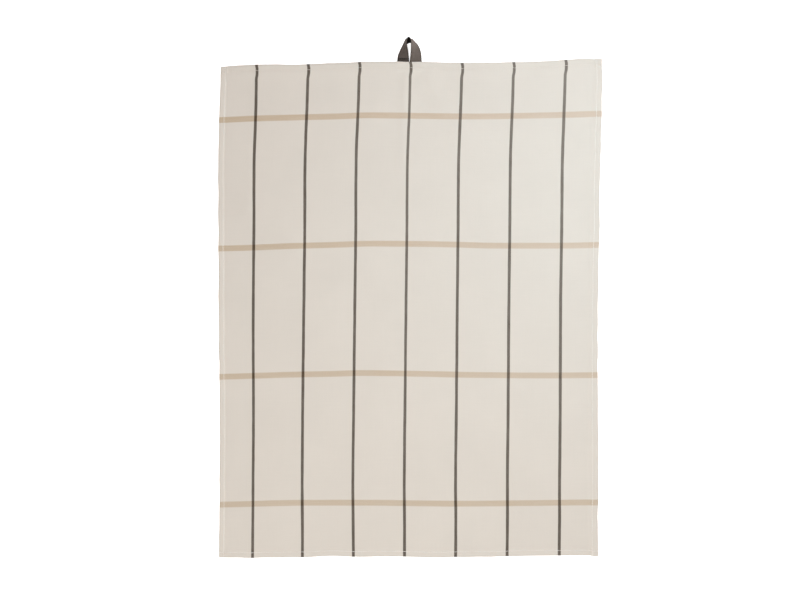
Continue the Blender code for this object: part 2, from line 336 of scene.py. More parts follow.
# %% Grid lines
EDGE_LINES = (0.0, 0.15, 0.4, 0.8, 1.3, 2.2, 3.2, 4.2, 5.0, 5.6, 6.2, 6.8, 7.4, 8.0, 8.6, 9.2,
              9.6, 10.4, 11.4, 12.6, 14.2, 16.4, 19.0)
EVEN_ACROSS, EVEN_ALONG = 126, 158       # even spaces between the close lines
LINE_GAP = 1.2                           # no even line stays nearer than this to a placed one


def grid_lines(size, steps, extra=()):
    """Lines from one edge to the other: close at both edges, even between them."""
    half, reach = size / 2, EDGE_LINES[-1]
    low = [-half + d for d in EDGE_LINES]
    high = [half - d for d in reversed(EDGE_LINES)]
    inner = [-half + reach + (size - 2 * reach) * k / steps for k in range(1, steps)]
    for line in extra:
        inner = [x for x in inner if abs(x - line) > LINE_GAP] + [line]
    return low + sorted(inner) + high


pocket_sides = (foot_middle - POCKET_HALF, foot_middle + POCKET_HALF)
columns = grid_lines(WIDTH, EVEN_ACROSS, pocket_sides)
rows = grid_lines(LENGTH, EVEN_ALONG)
print("grid of", len(columns), "by", len(rows), "lines")

# %% UV maps of the sheet
FACE_CORNER, FACE_SCALE = (0.004, 0.02), 1.46        # layout of the face: corner, size per metre
BACK_CORNER, BACK_SCALE = (0.996, 0.02), 0.5         # the back is mirrored and lies right of it
RIM_CORNER, RIM_SQUARE = (0.748, 0.40), 0.0056       # small squares for the rim, above the back
RIM_COLUMNS, RIM_FILL = 44, 0.8                      # squares in a row, share of each that is used


def fill_uv(bm, rim_faces):
    """The place on the cut cloth in metres, and a flat layout: face large, back small beside it."""
    cut = bm.loops.layers.uv.new("cut_cloth")
    layout = bm.loops.layers.uv.new("OFBake")
    a_layer, h_layer = bm.verts.layers.float["across"], bm.verts.layers.float["height"]
    side_layer = bm.verts.layers.float["is_face"]
    for face in bm.faces:
        upper = all(v[side_layer] > 0.5 for v in face.verts)
        for loop in face.loops:
            a, h = loop.vert[a_layer] * MM, loop.vert[h_layer] * MM
            loop[cut].uv = (a, h)
            if face in rim_faces:
                continue
            if upper:
                loop[layout].uv = (FACE_CORNER[0] + (a + WIDTH / 2 * MM) * FACE_SCALE,
                                   FACE_CORNER[1] + (h + LENGTH / 2 * MM) * FACE_SCALE)
            else:
                loop[layout].uv = (BACK_CORNER[0] - (a + WIDTH / 2 * MM) * BACK_SCALE,
                                   BACK_CORNER[1] + (h + LENGTH / 2 * MM) * BACK_SCALE)
    return layout


print("one pixel of a 1024-pixel layout covers %.2f mm of the face" % (1.0 / 1024 / FACE_SCALE / MM))

# %% Make the sheet
bm = bmesh.new()
bmesh.ops.create_grid(bm, x_segments=len(columns) - 1, y_segments=len(rows) - 1, size=0.5)
across_layer = bm.verts.layers.float.new("across")
height_layer = bm.verts.layers.float.new("height")
face_layer = bm.verts.layers.float.new("is_face")
for vert in bm.verts:
    vert[across_layer] = columns[round((vert.co.x + 0.5) * (len(columns) - 1))]
    vert[height_layer] = rows[round((vert.co.y + 0.5) * (len(rows) - 1))]
before = set(bm.faces)
extruded = bmesh.ops.extrude_face_region(bm, geom=list(bm.faces))["geom"]
face_verts = [item for item in extruded if isinstance(item, bmesh.types.BMVert)]
face_faces = {item for item in extruded if isinstance(item, bmesh.types.BMFace)}
rim = {f for f in bm.faces if f not in before and f not in face_faces}
for vert in face_verts:
    vert[face_layer] = 1.0
for vert in bm.verts:
    across, height = vert[across_layer], vert[height_layer]
    face, back = faces_at(across, height)
    x, y = lie(across, height)
    vert.co = (x * MM, y * MM, (face if vert[face_layer] > 0.5 else back) * MM)
print("sheet:", len(bm.verts), "vertices,", len(rim), "faces round the rim")

# %% [markdown]
# The ends of the tape lie between the hem's layers.  The faces of the rim in front of them are
# pushed into the hem, which opens a pocket without any cutting: the sheet stays one closed body.

# %% The pocket in the top hem
TOUCH = 0.01                     # lines closer than this are the same line


def on_top_edge(face):
    """Whether a face has all its corners on the line of the top edge."""
    return all(v[height_layer] > LENGTH / 2 - TOUCH for v in face.verts)


def in_pocket(vert):
    """Whether a corner lies on the pocket's floor or roof."""
    return min(abs(vert.co.z - POCKET_LOW * MM), abs(vert.co.z - POCKET_HIGH * MM)) < 1e-6


def place_of(face):
    """Where a face lies, to put faces in an order that is the same in every run."""
    return face.calc_center_median().to_tuple(7)


mouth = [f for f in rim if on_top_edge(f)
         and all(pocket_sides[0] - TOUCH <= v[across_layer] <= pocket_sides[1] + TOUCH for v in f.verts)]
pushed = bmesh.ops.extrude_face_region(bm, geom=mouth)["geom"]
bmesh.ops.delete(bm, geom=mouth, context="FACES_ONLY")
for vert in (item for item in pushed if isinstance(item, bmesh.types.BMVert)):
    vert.co.y -= POCKET_DEEP * MM
for vert in {v for item in pushed if isinstance(item, bmesh.types.BMFace) for v in item.verts}:
    vert.co.z = (POCKET_HIGH if vert[face_layer] > 0.5 else POCKET_LOW) * MM
bmesh.ops.recalc_face_normals(bm, faces=bm.faces)
rim = {f for f in bm.faces
       if not all(v[face_layer] > 0.5 for v in f.verts) and not all(v[face_layer] < 0.5 for v in f.verts)}
walls = {f for f in bm.faces if f not in rim and on_top_edge(f) and any(in_pocket(v) for v in f.verts)}
layout = fill_uv(bm, rim | walls)
for number, face in enumerate(sorted(rim | walls, key=place_of)):
    # each rim or pocket face lies in a small square of its own
    col, row = number % RIM_COLUMNS, number // RIM_COLUMNS
    for k, loop in enumerate(face.loops):
        dx, dy = ((0, 0), (1, 0), (1, 1), (0, 1))[k % 4]
        loop[layout].uv = (RIM_CORNER[0] + (col + RIM_FILL * dx) * RIM_SQUARE,
                           RIM_CORNER[1] + (row + RIM_FILL * dy) * RIM_SQUARE)
for number, face in enumerate(sorted(bm.faces, key=place_of)):
    face.index = number
bm.faces.sort()
cloth_mesh = bpy.data.meshes.new("woven_cloth")
bm.to_mesh(cloth_mesh)
bm.free()
cloth_mesh.shade_smooth()
cloth = bpy.data.objects.new("woven_cloth", cloth_mesh)
bpy.context.scene.collection.objects.link(cloth)
print("cloth:", sum(len(p.vertices) - 2 for p in cloth_mesh.polygons), "triangles; pocket mouth of",
      len(mouth), "faces")

# %% [markdown]
# ## Shader maths in plain Python
# A weave is arithmetic on two coordinates, and dozens of Math nodes placed one by one can't be
# read.  The class below wraps a socket, so that an expression such as `1 - mask` adds its own
# nodes.  Everything else comes from one method that makes any node from its type, its settings
# and its inputs.

# %% Shader helpers
class Wire:
    """A number worked out in a shader; + - * / and the like on it add Math nodes."""

    def __init__(self, finish, socket):
        self.finish, self.socket = finish, socket

    def maths(self, operation, *others, clamp=False):
        settings = {"operation": operation, "use_clamp": clamp}
        return self.finish.node("ShaderNodeMath", settings, dict(enumerate((self, *others))))

    def __add__(self, other):
        return self.maths("ADD", other)

    def __radd__(self, other):
        return self.maths("ADD", other)

    def __sub__(self, other):
        return self.maths("SUBTRACT", other)

    def __rsub__(self, other):
        return self.finish.node("ShaderNodeMath", {"operation": "SUBTRACT"}, {0: other, 1: self})

    def __mul__(self, other):
        return self.maths("MULTIPLY", other)

    def __rmul__(self, other):
        return self.maths("MULTIPLY", other)

    def __truediv__(self, other):
        return self.maths("DIVIDE", other)

    def __neg__(self):
        return self.maths("MULTIPLY", -1.0)

    def __gt__(self, other):
        return self.maths("GREATER_THAN", other)

    def __abs__(self):
        return self.maths("ABSOLUTE")

    def kept(self):
        """Kept between 0 and 1."""
        return self.maths("ADD", 0.0, clamp=True)


class Finish:
    """A material with a Principled shader, and the ways to wire it."""

    def __init__(self, name, roughness=0.9, **fixed):
        self.material = bpy.data.materials.new(name)
        self.material.use_nodes = True
        self.tree = self.material.node_tree
        self.shader = self.tree.nodes["Principled BSDF"]
        self.shader.inputs["Roughness"].default_value = roughness
        for socket, value in fixed.items():
            self.shader.inputs[socket.replace("_", " ")].default_value = value

    def node(self, kind, settings=None, inputs=None, output=0):
        """Any node, from its type, its settings and the values or wires of its sockets."""
        made = self.tree.nodes.new(kind)
        for name, value in (settings or {}).items():
            setattr(made, name, value)
        for name, value in (inputs or {}).items():
            self.feed(made.inputs[name], value)
        return Wire(self, made.outputs[output])

    def feed(self, socket, value):
        """Sets a socket to a number or a colour, or links a wire to it."""
        if isinstance(value, Wire):
            self.tree.links.new(value.socket, socket)
        elif isinstance(value, tuple) and len(value) == 3 and socket.type == "RGBA":
            socket.default_value = (*value, 1.0)
        else:
            socket.default_value = value

    def uv(self, name):
        """The two coordinates of a UV map, as wires."""
        place = self.node("ShaderNodeUVMap", {"uv_map": name})
        split = self.tree.nodes.new("ShaderNodeSeparateXYZ")
        self.feed(split.inputs[0], place)
        return Wire(self, split.outputs[0]), Wire(self, split.outputs[1])

    def vector(self, x, y, z):
        return self.node("ShaderNodeCombineXYZ", None, {0: x, 1: y, 2: z})

    def scaled(self, colour, share):
        """A colour or a place times one number."""
        return self.node("ShaderNodeVectorMath", {"operation": "SCALE"}, {0: colour, "Scale": share})

    def relief(self, strength, height, depth):
        """Feeds a bump of a height that varies, at its depth in metres, to the shader's normal."""
        bump = self.node("ShaderNodeBump", None,
                         {"Strength": strength, "Distance": depth, "Height": height})
        self.feed(self.shader.inputs["Normal"], bump)

    def cloud(self, where, detail=2.0, rough=0.5):
        """Smooth noise around 0.5 at a scaled place."""
        return self.node("ShaderNodeTexNoise", {"noise_dimensions": "3D"},
                         {"Vector": where, "Scale": 1.0, "Detail": detail, "Roughness": rough})

    def mix(self, share, low, high):
        """A colour between low and high."""
        return self.node("ShaderNodeMix", {"data_type": "RGBA"}, {0: share, 6: low, 7: high}, output=2)

    def smooth(self, value, start, end):
        """0 before start, 1 after end, soft between."""
        return self.node("ShaderNodeMapRange", {"interpolation_type": "SMOOTHSTEP"},
                         {"Value": value, "From Min": start, "From Max": end})


print("shader helpers ready")

# %% [markdown]
# ## The woven pattern
# This is a yarn-dyed plain weave. Dark warp yarns make the seven thin stripes, beige weft yarns
# make the four broad bands, and where they cross, both show and the colour deepens by itself. A
# picture of the cloth would blur close up and show its edges when it repeats, and stripes laid over
# bands would need a third colour for each crossing. So the shader works as the loom does: it finds
# the colour of the warp yarn and of the weft yarn at each place, and lets the one on top show.

# %% Yarn colours and stripe sizes
UNDYED = (0.735, 0.685, 0.625)
UNDYED_THICK = (0.79, 0.735, 0.67)
DARK_WARP = (0.034, 0.021, 0.014)
BEIGE_WEFT = (0.46, 0.30, 0.13)
# painted light: the band weft's colour in the upper right corner, which is painted paler
WEFT_IN_PAINTED_LIGHT = (0.535, 0.30, 0.13)         # the same dye in the upper right corner
STAINED_WEFT = (0.735, 0.66, 0.565)      # undyed weft that took some dye where it crosses a stripe
YARN = 0.95                              # width of one yarn
STRIPE_HALF, STRIPE_SOFT = 1.95, 0.35    # half a stripe, and half its soft border
BAND_HALF = 4.0
HEM_JOG = 0.95                           # the turned layers carry the stripes this far to the right


def nearest_line(value, pitch, count):
    """Distance from the nearest of `count` lines, `pitch` apart and centred."""
    shifted = value / pitch + (0.0 if count % 2 else 0.5)
    number = shifted.maths("ROUND")
    low, high = (-(count - 1) / 2, (count - 1) / 2) if count % 2 else (-count / 2 + 1, count / 2)
    number = number.maths("MAXIMUM", low).maths("MINIMUM", high)
    return abs(shifted - number) * pitch


print("a stripe is %.0f yarns wide, a band %.0f" % (2 * STRIPE_HALF / YARN, 2 * BAND_HALF / YARN))

# %% [markdown]
# Yarns are never even.  Long thin noise along each one makes its thick and thin places, the slubs,
# and a slow noise makes patches in the cloth.  The weave itself is a chessboard whose squares are
# one yarn wide: on the white ones the warp is on top, on the black ones the weft.

# %% The yarns
weave = Finish("undyed_cotton_weave", roughness=0.92, Specular_IOR_Level=0.25, Sheen_Weight=0.12,
               Sheen_Roughness=0.6)
u, v = weave.uv("cut_cloth")
across, height = u * 1000.0, v * 1000.0

warp_slub = weave.cloud(weave.vector(across / 1.1, height / 42.0, 1.3), detail=3.0, rough=0.6)
weft_slub = weave.cloud(weave.vector(across / 42.0, height / 1.1, 7.9), detail=3.0, rough=0.6)
patches = weave.cloud(weave.vector(across / 60.0, height / 60.0, 4.2), detail=3.0, rough=0.55)

column_place = across / YARN
row_place = height / YARN
parity = (column_place.maths("FLOOR") + row_place.maths("FLOOR")).maths("FLOORED_MODULO", 2.0)
crown_x = (column_place.maths("FRACT") * math.pi).maths("SINE")
crown_y = (row_place.maths("FRACT") * math.pi).maths("SINE")
print("yarns across the towel: %.0f, along it: %.0f" % (WIDTH / YARN, LENGTH / YARN))

# %% Stripes and bands
# `upper` and `right` rise from 0 to 1 up and across the towel; `middle` is 1 on the middle stripe
in_hem = weave.smooth(height, 305.0, 314.0)
hem_jog = HEM_JOG * in_hem * weave.smooth(-height, -LENGTH / 2, 6.0 - LENGTH / 2)
upper = ((height + 280.0) / 580.0).kept()
right = ((across + WIDTH / 2) / WIDTH).kept()
middle = (1.0 - weave.smooth(abs(across), 10.0, 14.0)) * upper * (1.0 - in_hem)
stripe_off = nearest_line(across - hem_jog, STRIPE_PITCH, 7) + (warp_slub - 0.5) * 0.9 + 0.22 * middle
stripe = 1.0 - weave.smooth(stripe_off, STRIPE_HALF - STRIPE_SOFT, STRIPE_HALF + STRIPE_SOFT)
band_off = nearest_line(height, BAND_PITCH, 4) + (weft_slub - 0.5) * 1.2
band = 1.0 - weave.smooth(band_off, BAND_HALF - 0.9, BAND_HALF + 0.5)
print("stripes and bands drawn with", len(weave.tree.nodes), "nodes so far")

# %% [markdown]
# Painted light makes the dye paler towards the upper right corner and a little darker towards the
# upper left, and the dye itself sits unevenly along each yarn.  In a dark stripe the warp yarns are
# packed closer, so they cover more of the weft.  Painted shade darkens the gaps between yarns, the
# hem's outer edge and the top rim left of the loop, and a painted highlight pales the edge over the
# loop's feet.

# %% Colour of the cloth
blotch = weave.cloud(weave.vector(across / 5.0, height / 14.0, 6.6), detail=2.0)
# painted light: stripes and bands are painted paler towards the upper right and a little darker towards
# the upper left
stripe_dye_and_painted_light = 0.98 + upper * (0.04 - 0.21 * right) - 0.04 * middle + 0.05 * in_hem + (blotch - 0.5) * 0.14
band_dye_and_painted_light = 0.78 * (1.0 + upper * (0.27 - 0.52 * right))

plain_warp = weave.mix(warp_slub, UNDYED, UNDYED_THICK)
plain_weft = weave.mix(weft_slub, UNDYED, UNDYED_THICK)
warp_colour = weave.mix((stripe * stripe_dye_and_painted_light).kept(), plain_warp, DARK_WARP)
weft_colour = weave.mix(stripe, plain_weft, STAINED_WEFT)
band_colour = weave.mix(upper * right, BEIGE_WEFT, WEFT_IN_PAINTED_LIGHT)
weft_colour = weave.mix((band * band_dye_and_painted_light * (0.72 + 0.56 * weft_slub)).kept(), weft_colour, band_colour)

warp_share = (0.42 + 0.44 * stripe + (parity - 0.5) * (0.24 - 0.12 * stripe)).kept()
woven = weave.mix(warp_share, weft_colour, warp_colour)

gap_shade = 0.93 + 0.07 * (crown_x * crown_y)
from_edge = (WIDTH / 2 - abs(across)).maths("MINIMUM", LENGTH / 2 - abs(height))
over_feet = (1.0 - weave.smooth(abs(across - foot_middle), 15.0, 18.0)) * (height > 320.0)
shaded_rim = (height > 315.0) * (1.0 - weave.smooth(across, -15.0, 40.0)) * (1.0 - over_feet)
# painted shade along the outer edge and the top rim left of the loop, and a painted highlight on the edge
# over the loop's feet
painted_edge_shade_and_highlight = (1.0 - (0.06 - 0.12 * over_feet) * (1.0 - weave.smooth(from_edge, 0.6, 2.2))
          - 0.04 * shaded_rim * (1.0 - weave.smooth(from_edge, 1.8, 4.2)))
tone = gap_shade * (0.965 + 0.07 * patches) * painted_edge_shade_and_highlight
weave.feed(weave.shader.inputs["Base Color"], weave.scaled(woven, tone))
print("colour done,", len(weave.tree.nodes), "nodes so far")

# %% Relief of the weave
# each yarn is round and the one on top stands higher
warp_crown = crown_x * (0.55 + 0.45 * crown_y)
weft_crown = crown_y * (0.55 + 0.45 * crown_x)
crowns = parity * warp_crown + (1.0 - parity) * weft_crown
weave.relief(0.55, crowns * (0.7 + 0.6 * weft_slub) + 1.2 * warp_slub + 1.2 * weft_slub, 0.00012)
cloth_mesh.materials.append(weave.material)
print("cloth material:", len(weave.tree.nodes), "nodes")

# %% [markdown]
# ## The hanging loop
# A short piece of twill tape is folded in two and its ends are sewn side by side into the hem.
# Both feet lie flat, and between them the tape has to turn: it twists up onto its lower edge, so
# the bend at the tip stands on edge and leans outwards.  A curve with a flat profile could do this,
# but its tilt is hard to steer in such a tight twist.  So both edges of the tape are given instead:
# one row of the table is one place along the tape, with the spot of its low edge and of its high
# edge.  A lengthwise grid is laid through the rows, and Solidify gives it its thickness.

# %% The tape's path
TAPE, TAPE_WIDTH = 0.8, 15.4     # thickness and width
SEAT, SEAT_HEIGHT = 6.8, 1.6     # how deep the ends sit in the hem, and at what height
TAPE_PATH = Table("way low_x low_y low_z high_x high_y high_z",
                  (0.000, -16.2, -SEAT, SEAT_HEIGHT, -0.4, -SEAT, SEAT_HEIGHT),
                  (0.090, -16.2, 0.3, 1.5, -0.3, 0.3, 1.7),
                  (0.185, -15.1, 8.4, 0.8, -1.1, 8.0, 6.3),
                  (0.276, -12.1, 15.6, 0.8, -2.2, 15.2, 10.2),
                  (0.345, -9.2, 21.4, 0.8, -3.3, 20.6, 11.8),
                  (0.389, -7.5, 24.9, 0.8, -3.6, 24.0, 12.2),
                  (0.425, -6.1, 27.8, 0.8, -3.5, 27.0, 12.4),
                  (0.455, -4.0, 30.8, 0.8, -3.1, 29.5, 12.5),
                  (0.470, -3.2, 24.6, 0.8, -2.4, 30.6, 12.5),
                  (0.490, -1.8, 24.6, 0.8, -1.4, 31.3, 12.5),
                  (0.504, -0.4, 25.2, 0.8, -0.4, 31.2, 12.5),
                  (0.517, 1.0, 25.5, 0.8, 0.5, 30.4, 12.5),
                  (0.530, 2.1, 25.7, 0.8, 1.4, 29.4, 12.5),
                  (0.545, 3.3, 30.2, 0.8, 2.0, 28.5, 12.4),
                  (0.565, 5.3, 28.6, 0.8, 2.2, 27.0, 12.4),
                  (0.594, 7.5, 26.1, 0.8, 2.25, 24.8, 12.2),
                  (0.640, 10.8, 22.9, 0.8, 2.15, 21.2, 11.6),
                  (0.720, 13.5, 17.7, 0.8, 2.0, 14.2, 10.2),
                  (0.770, 15.0, 12.9, 0.8, 1.6, 10.4, 8.4),
                  (0.820, 15.7, 8.6, 0.8, 1.2, 7.0, 6.3),
                  (0.914, 16.3, 0.3, 1.5, 0.25, 0.3, 1.7),
                  (1.000, 16.2, -SEAT, SEAT_HEIGHT, 0.35, -SEAT, SEAT_HEIGHT))


def tape_place(way, share):
    """A point of the tape's middle surface, in metres: way round the loop, share of the width."""
    low = Vector([TAPE_PATH.at(name, way) for name in ("low_x", "low_y", "low_z")])
    high = Vector([TAPE_PATH.at(name, way) for name in ("high_x", "high_y", "high_z")])
    return (low.lerp(high, share) + Vector((LOOP_AT[0], LOOP_AT[1], 0.0))) * MM


steps = [tape_place(k / 200, 0.5) for k in range(201)]
tape_length = sum((b - a).length for a, b in zip(steps, steps[1:]))
print("tape is %.1f mm long" % (tape_length / MM))

# %% Make the tape
ALONG, ACROSS = 220, 18          # faces along the tape and across it
bm = bmesh.new()
bmesh.ops.create_grid(bm, x_segments=ALONG, y_segments=ACROSS, size=0.5)
tape_uv = bm.loops.layers.uv.new("tape")
for face in bm.faces:
    for loop in face.loops:
        loop[tape_uv].uv = ((loop.vert.co.x + 0.5) * tape_length, (loop.vert.co.y + 0.5) * TAPE_WIDTH * MM)
for vert in bm.verts:
    vert.co = tape_place(vert.co.x + 0.5, vert.co.y + 0.5)
bmesh.ops.recalc_face_normals(bm, faces=bm.faces)
tape_mesh = bpy.data.meshes.new("loop_tape")
bm.to_mesh(tape_mesh)
bm.free()
loop_tape = bpy.data.objects.new("loop_tape", tape_mesh)
bpy.context.scene.collection.objects.link(loop_tape)
body = loop_tape.modifiers.new("thickness", "SOLIDIFY")
body.thickness, body.offset, body.use_even_offset = TAPE * MM, 0.0, True
body.material_offset = 1
print("tape grid:", ALONG, "by", ACROSS)

# %% [markdown]
# The tape is a fine grey-brown twill, and its diagonal ribs come from one sine of both coordinates.
# The leg with the seams has painted shade, so it is darker than the other, and the seam rows across
# it have painted shade too.  The edges are darker still, most on the first leg and at the tip, and
# the second leg has a painted highlight where it leaves the bend.  The back of the tape has painted
# shade, darkest in the tight bend, where hardly any light gets in.

# %% The tape's material
SEAM_WAYS = (0.117, 0.140)           # the two seams across the left foot


def twill(name, dark, light, shades, inside):
    """A twill; shades: how dark the low edge is on each leg, then the high edge; inside: 1 on the back."""
    finish = Finish(name, roughness=0.9, Specular_IOR_Level=0.2 * (1.0 - inside))
    along, over = finish.uv("tape")
    along, over = along * 1000.0, over * 1000.0
    length = tape_length / MM
    rib = ((along + over) / 0.9 * math.tau).maths("SINE") * 0.5 + 0.5
    fluff = finish.cloud(finish.vector(along / 0.8, over / 3.5, 2.0), detail=3.0)
    stain = finish.cloud(finish.vector(along / 7.0, over / 6.0, 5.0), detail=2.0)
    second = finish.smooth(along, 0.47 * length, 0.54 * length)
    low_edge = 1.0 - finish.smooth(over, 1.0, 2.6)
    high_edge = finish.smooth(over, TAPE_WIDTH - 2.2, TAPE_WIDTH - 1.0)
    bend = 1.0 - finish.smooth(abs(along - 0.5 * length), 4.0, 13.0)
    tip = 1.0 - finish.smooth(abs(along - 0.5 * length), 1.5, 5.0)
    low_first, low_second, high_first, high_second = shades
    darker_edges = (low_edge * (low_first + (low_second - low_first) * second)
              + high_edge * (high_first + (high_second - high_first) * second + 0.2 * tip))
    seam_groove_and_shade = 0.0
    for way in SEAM_WAYS:
        seam_groove_and_shade = (1.0 - finish.smooth(abs(along - way * length), 0.3, 1.1)) + seam_groove_and_shade
    lit = second * (1.0 - finish.smooth(along, 0.62 * length, 0.75 * length))
    # painted shade darkens the first leg, its seam rows and the back in the bend; lit is a painted
    # highlight on the second leg past the bend
    tone = (1.0 - darker_edges) * (1.0 - 0.35 * seam_groove_and_shade) * (0.71 + 0.26 * second) * (1.0 - 0.80 * inside * bend)
    tone = tone * (0.76 + 0.2 * fluff + 0.25 * stain) * (1.0 + 0.28 * lit)
    colour = finish.mix(rib * 0.6 + fluff * 0.4, dark, light)
    finish.feed(finish.shader.inputs["Base Color"], finish.scaled(colour, tone))
    finish.relief(0.6, rib * 0.5 + fluff - low_edge - high_edge - seam_groove_and_shade, 0.00025)
    return finish.material


tape_mesh.materials.append(twill("grey_brown_twill", (0.105, 0.084, 0.074), (0.180, 0.148, 0.130),
                                 (0.25, 0.20, 0.35, 0.25), 0.0))
# the back's darker colours are painted shade
tape_mesh.materials.append(twill("twill_back_painted_shade", (0.05, 0.043, 0.038), (0.08, 0.07, 0.062),
                                 (0.1, 0.1, 0.1, 0.1), 1.0))
print("tape materials:", [m.name for m in tape_mesh.materials])

# %% [markdown]
# ## Sewing
# Hem seams are hundreds of like stitches along a line.  An Array modifier on a curve would make
# them all alike, and Geometry Nodes can turn each one a little.  The tree takes a line of edges,
# spaces points along it, and sets a short arched thread on each, its two ends dipping into the
# cloth.  Lengths are named inputs and the small turns have a fixed seed.

# %% The stitch tree
def stitch_tree():
    """The node tree that turns a line of edges into a row of stitches."""
    tree = bpy.data.node_groups.new("stitches_along_a_seam", "GeometryNodeTree")
    sockets = tree.interface
    sockets.new_socket("Geometry", in_out="INPUT", socket_type="NodeSocketGeometry")
    for name, value in (("Stitch Pitch", 0.0032), ("Stitch Length", 0.0027), ("Thread Width", 0.0005),
                        ("Arch", 0.0005)):
        socket = sockets.new_socket(name, in_out="INPUT", socket_type="NodeSocketFloat")
        socket.default_value = value
    sockets.new_socket("Seed", in_out="INPUT", socket_type="NodeSocketInt")
    sockets.new_socket("Thread", in_out="INPUT", socket_type="NodeSocketMaterial")
    sockets.new_socket("Geometry", in_out="OUTPUT", socket_type="NodeSocketGeometry")
    nodes, links = tree.nodes, tree.links
    given, result = nodes.new("NodeGroupInput"), nodes.new("NodeGroupOutput")

    def give(socket, value):
        if isinstance(value, bpy.types.NodeSocket):
            links.new(value, socket)
        else:
            socket.default_value = value

    def node(kind, settings=None, **inputs):
        made = nodes.new(kind)
        for name, value in (settings or {}).items():
            setattr(made, name, value)
        for name, value in inputs.items():
            give(made.inputs[name.replace("_", " ")], value)
        return made

    def maths(operation, a, b):
        made = node("ShaderNodeMath", {"operation": operation})
        give(made.inputs[0], a)
        give(made.inputs[1], b)
        return made.outputs[0]

    line = node("GeometryNodeMeshToCurve", Mesh=given.outputs["Geometry"])
    points = node("GeometryNodeCurveToPoints", {"mode": "LENGTH"}, Curve=line.outputs["Curve"],
                  Length=given.outputs["Stitch Pitch"])
    forward = node("FunctionNodeAlignRotationToVector", {"axis": "X"}, Vector=points.outputs["Tangent"])
    upright = node("FunctionNodeAlignRotationToVector", {"axis": "Z", "pivot_axis": "X"},
                   Rotation=forward.outputs["Rotation"], Vector=(0.0, 0.0, 1.0))
    half = maths("MULTIPLY", given.outputs["Stitch Length"], 0.5)
    dip = maths("MULTIPLY", given.outputs["Arch"], -0.5)
    start = node("ShaderNodeCombineXYZ", X=maths("MULTIPLY", half, -1.0), Z=dip)
    end = node("ShaderNodeCombineXYZ", X=half, Z=dip)
    rise = node("ShaderNodeCombineXYZ", X=maths("MULTIPLY", half, -0.6), Z=given.outputs["Arch"])
    fall = node("ShaderNodeCombineXYZ", X=maths("MULTIPLY", half, 0.6), Z=given.outputs["Arch"])
    arch = node("GeometryNodeCurvePrimitiveBezierSegment", {"mode": "POSITION"}, Resolution=5,
                Start=start.outputs[0], Start_Handle=rise.outputs[0], End_Handle=fall.outputs[0],
                End=end.outputs[0])
    ring = node("GeometryNodeCurvePrimitiveCircle", Resolution=6,
                Radius=maths("MULTIPLY", given.outputs["Thread Width"], 0.5))
    thread = node("GeometryNodeCurveToMesh", Curve=arch.outputs["Curve"],
                  Profile_Curve=ring.outputs["Curve"], Fill_Caps=True)
    turn = node("FunctionNodeRandomValue", {"data_type": "FLOAT_VECTOR"}, Seed=given.outputs["Seed"])
    turn.inputs["Min"].default_value, turn.inputs["Max"].default_value = (0, 0, -0.10), (0, 0, 0.10)
    placed = node("GeometryNodeInstanceOnPoints", Points=points.outputs["Points"],
                  Instance=thread.outputs["Mesh"], Rotation=upright.outputs["Rotation"])
    turned = node("GeometryNodeRotateInstances", Instances=placed.outputs["Instances"],
                  Rotation=turn.outputs["Value"], Local_Space=True)
    real = node("GeometryNodeRealizeInstances", Geometry=turned.outputs["Instances"])
    painted = node("GeometryNodeSetMaterial", Geometry=real.outputs["Geometry"],
                   Material=given.outputs["Thread"])
    links.new(painted.outputs["Geometry"], result.inputs["Geometry"])
    return tree


STITCHES = stitch_tree()
print("stitch tree inputs:", [s.name for s in STITCHES.interface.items_tree if s.in_out == "INPUT"])

# %% A helper that sews along a line
def sew(name, lines, thread, seed, **sizes):
    """Stitches along lines of points in metres, returned as one plain mesh object."""
    bm = bmesh.new()
    for line in lines:
        verts = [bm.verts.new(point) for point in line]
        for a, b in zip(verts, verts[1:]):
            bm.edges.new((a, b))
    mesh = bpy.data.meshes.new(name + "_line")
    bm.to_mesh(mesh)
    bm.free()
    guide = bpy.data.objects.new(name + "_line", mesh)
    bpy.context.scene.collection.objects.link(guide)
    tree = guide.modifiers.new("stitches", "NODES")
    tree.node_group = STITCHES
    wanted = {"Seed": seed, "Thread": thread, **{k.replace("_", " "): s for k, s in sizes.items()}}
    for item in STITCHES.interface.items_tree:
        if item.in_out == "INPUT" and item.name in wanted:
            tree[item.identifier] = wanted[item.name]
    ready = guide.evaluated_get(bpy.context.evaluated_depsgraph_get())
    plain = bpy.data.meshes.new_from_object(ready)
    bpy.data.objects.remove(guide, do_unlink=True)
    piece = bpy.data.objects.new(name, plain)
    bpy.context.scene.collection.objects.link(piece)
    plain.shade_smooth()
    print(name, "has", sum(len(p.vertices) - 2 for p in plain.polygons), "triangles")
    return piece


print("sewing helper ready")

# %% [markdown]
# The thread of the sides and the bottom is bleached and shows as a white line.  Along the top it has
# the colour of the cloth, and hardly shows.

# %% Threads
def thread_finish(name, colour):
    """A twisted thread, with a little painted shade between its turns."""
    finish = Finish(name, roughness=0.8, Specular_IOR_Level=0.3)
    place = finish.node("ShaderNodeTexCoord", output=3)
    twist = finish.cloud(finish.scaled(place, 2500.0), detail=1.0)
    shade = tuple(c * 0.85 for c in colour)
    finish.feed(finish.shader.inputs["Base Color"], finish.mix(twist, shade, colour))
    finish.relief(0.4, twist, 0.0001)
    return finish.material


cotton_thread = thread_finish("bleached_thread", (0.93, 0.90, 0.86))
plain_thread = thread_finish("undyed_thread", (0.82, 0.77, 0.70))
dark_thread = thread_finish("dark_thread", (0.018, 0.014, 0.012))
print("threads:", cotton_thread.name, plain_thread.name, dark_thread.name)

# %% Hem seams
SEAM_END = 2.0                           # a seam stops this short of the corner
SIDE_STEPS, END_STEPS = 320, 250         # spaces between the points of a long and of a short seam
ON_FACE, BEHIND_BACK = 0.05, 0.12        # height of the thread's line over the face and over the back


